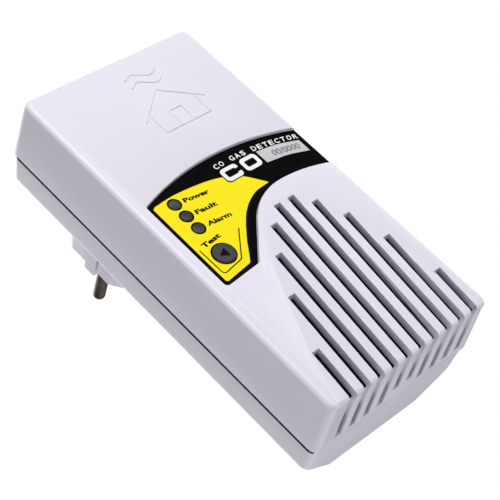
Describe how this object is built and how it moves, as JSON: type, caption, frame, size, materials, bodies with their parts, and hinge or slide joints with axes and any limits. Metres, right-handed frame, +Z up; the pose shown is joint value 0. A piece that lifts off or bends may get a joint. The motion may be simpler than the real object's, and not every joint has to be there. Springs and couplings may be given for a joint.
{
  "type": "carbon monoxide detector",
  "caption": "plug-in gas alarm in a white two-shell box with slanted vent slots, a black and yellow label with lights and a sprung test button, and a round two-pin mains plug on the back",
  "frame": {"origin": "middle of the plug's flat face, between the two pins", "axes": "+Z up as the detector hangs in a wall socket, +Y out of the plug face along the pins, into the wall, -Y the front face, +X to the right seen from the front"},
  "size_m": [0.075, 0.093, 0.1496],
  "materials": {
    "white_plastic": "fine matt texture, cool white ABS",
    "label_film": "printed black and yellow film, semi-gloss",
    "silver_film": "satin silver film",
    "light_window": "smoked clear plastic",
    "grey_plastic": "dark grey, satin",
    "black_plastic": "black, satin",
    "mesh_black": "fine black woven mesh",
    "nickel": "nickel plated, lightly worn",
    "steel": "zinc plated",
    "board_laminate": "green solder mask",
    "component": "black moulded epoxy",
    "capacitor_sleeve": "dark blue shrink sleeve",
    "varistor_coating": "blue epoxy coating",
    "fuse_case": "brown moulded case",
    "insert_plastic": "grey glass-filled plastic",
    "clear_lens": "clear epoxy",
    "brown_insulation": "brown wire insulation",
    "blue_insulation": "blue wire insulation"
  },
  "bodies": {
    "housing": {"front_cover": "white_plastic", "rear_housing": "white_plastic", "front_label": "label_film", "date_strip": "silver_film", "power_light_window": "light_window", "fault_light_window": "light_window", "alarm_light_window": "light_window", "power_diode": "clear_lens", "fault_diode": "clear_lens", "alarm_diode": "clear_lens", "test_switch": "black_plastic", "circuit_board": "board_laminate", "gas_sensor_cell": "steel", "sensor_filter_cap": "black_plastic", "piezo_sounder": "black_plastic", "microcontroller": "component", "transformer": "component", "voltage_regulator": "component", "smoothing_capacitor_1": "capacitor_sleeve", "smoothing_capacitor_2": "capacitor_sleeve", "fuse": "fuse_case", "surge_varistor": "varistor_coating", "terminal_left": "insert_plastic", "terminal_right": "insert_plastic", "pin_retainer": "insert_plastic", "plug_pin_left": "nickel", "plug_pin_right": "nickel", "live_lead": "brown_insulation", "neutral_lead": "blue_insulation", "dust_mesh": "mesh_black", "rating_plate": "silver_film", "retainer_screw_1": "steel", "retainer_screw_2": "steel", "housing_screw_1": "steel", "board_screw_1": "steel", "housing_screw_2": "steel", "board_screw_2": "steel", "housing_screw_3": "steel", "board_screw_3": "steel", "housing_screw_4": "steel", "board_screw_4": "steel"},
    "button": {"test_button": "grey_plastic", "switch_plunger": "grey_plastic"}
  },
  "joints": [
    {"name": "button_press", "type": "slide", "parent": "housing", "child": "button", "axis": [0, 1, 0], "range_m": [0, 0.0008], "stiffness_N_per_m": 600}
  ]
}
